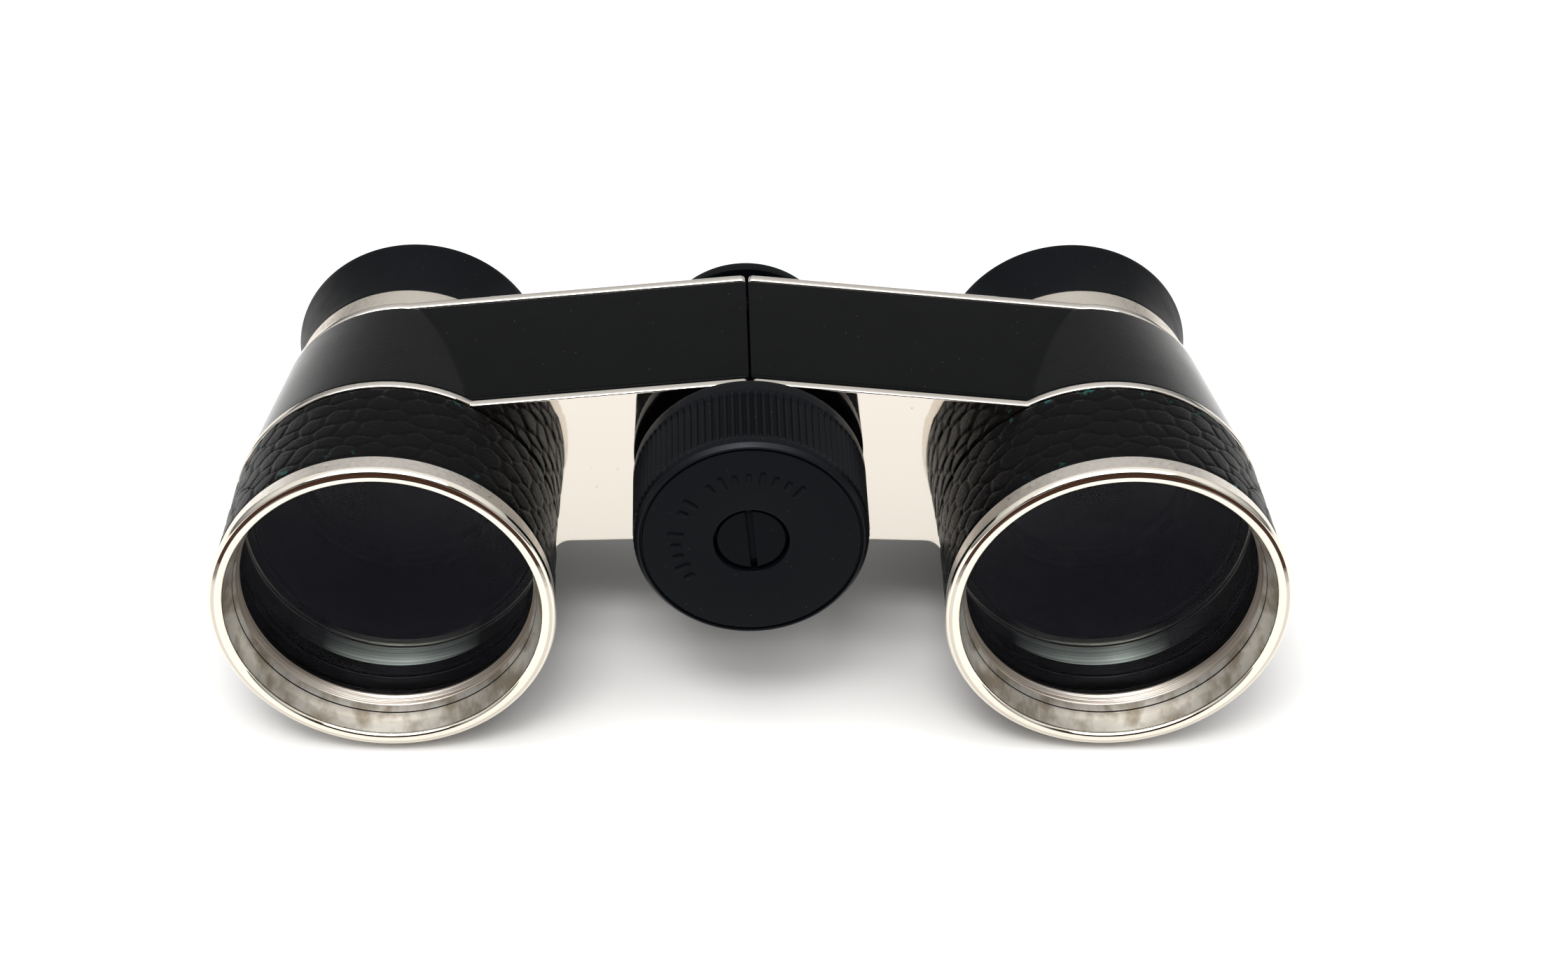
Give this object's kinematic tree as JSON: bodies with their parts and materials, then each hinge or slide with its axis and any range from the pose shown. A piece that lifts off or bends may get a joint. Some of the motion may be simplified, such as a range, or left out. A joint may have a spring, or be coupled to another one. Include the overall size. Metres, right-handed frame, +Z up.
{
  "type": "binoculars",
  "caption": "Small folding opera glasses: two short barrels hinged on a central axis, with a front focus knob that drives both eyepieces in and out.",
  "frame": {"origin": "middle of the bounding box's bottom, on the table that the glasses lie on", "axes": "+X across the glasses from the left barrel to the right barrel (as seen from the objectives), +Y from the objectives towards the eyecups, +Z up; the optical axes dip 5.18 degrees towards the eyecups"},
  "size_m": [0.1002, 0.0484, 0.0339],
  "materials": {
    "nickel": "bright nickel plate, finely turned",
    "glass": "polished lens",
    "blackened_brass": "matt black oxide",
    "leather": "pebble-grained, satin",
    "enamel": "satin black enamel",
    "brass": "machined",
    "black_plastic": "satin black moulded plastic",
    "steel": "turned",
    "blackened_steel": "blackened, slightly worn"
  },
  "bodies": {
    "left_half": {"objective_bezel_left": "nickel", "objective_crown_lens_left": "glass", "objective_flint_lens_left": "glass", "objective_retaining_ring_left": "blackened_brass", "objective_tube_left": "blackened_brass", "leather_wrap_left": "leather", "front_plate_left": "nickel", "body_shell_left": "enamel", "back_plate_left": "nickel", "eyepiece_guide_left": "brass", "hinge_block_left": "brass", "hinge_tube": "brass", "knob_washer": "steel"},
    "right_half": {"objective_bezel_right": "nickel", "objective_crown_lens_right": "glass", "objective_flint_lens_right": "glass", "objective_retaining_ring_right": "blackened_brass", "objective_tube_right": "blackened_brass", "leather_wrap_right": "leather", "front_plate_right": "nickel", "body_shell_right": "enamel", "back_plate_right": "nickel", "eyepiece_guide_right": "brass", "hinge_block_right": "brass"},
    "focus_drive": {"focus_knob": "black_plastic", "knob_screw": "blackened_steel", "focus_spindle": "steel"},
    "left_carriage": {"eyepiece_tube_left": "nickel", "eyepiece_lens_left": "glass", "eyepiece_lens_ring_left": "blackened_brass", "eyecup_left": "black_plastic", "focus_arm_left": "nickel", "hub_sleeve": "brass", "hub_cap": "black_plastic", "hub_screw": "blackened_steel"},
    "right_carriage": {"eyepiece_tube_right": "nickel", "eyepiece_lens_right": "glass", "eyepiece_lens_ring_right": "blackened_brass", "eyecup_right": "black_plastic", "focus_arm_right": "nickel"}
  },
  "joints": [
    {"name": "fold", "type": "hinge", "parent": "left_half", "child": "right_half", "pos_m": [0, 0.00171, 0.02123], "axis": [0, 0.9959, -0.0903], "range_deg": [0, 50]},
    {"name": "focus_turn", "type": "hinge", "parent": "left_half", "child": "focus_drive", "pos_m": [0, -0.01472, 0.02272], "axis": [0, 0.9959, -0.0903], "range_deg": [0, 270]},
    {"name": "left_eyepiece_slide", "type": "slide", "parent": "left_half", "child": "left_carriage", "axis": [0, 0.9959, -0.0903], "range_m": [0, 0.0045]},
    {"name": "right_eyepiece_slide", "type": "slide", "parent": "right_half", "child": "right_carriage", "axis": [0, 0.9959, -0.0903], "range_m": [0, 0.00451]}
  ],
  "couplings": [
    {"joint": "focus_turn", "follows": "left_eyepiece_slide", "rad_per_m": 1047.2},
    {"joint": "right_eyepiece_slide", "follows": "left_eyepiece_slide", "ratio": 1}
  ]
}
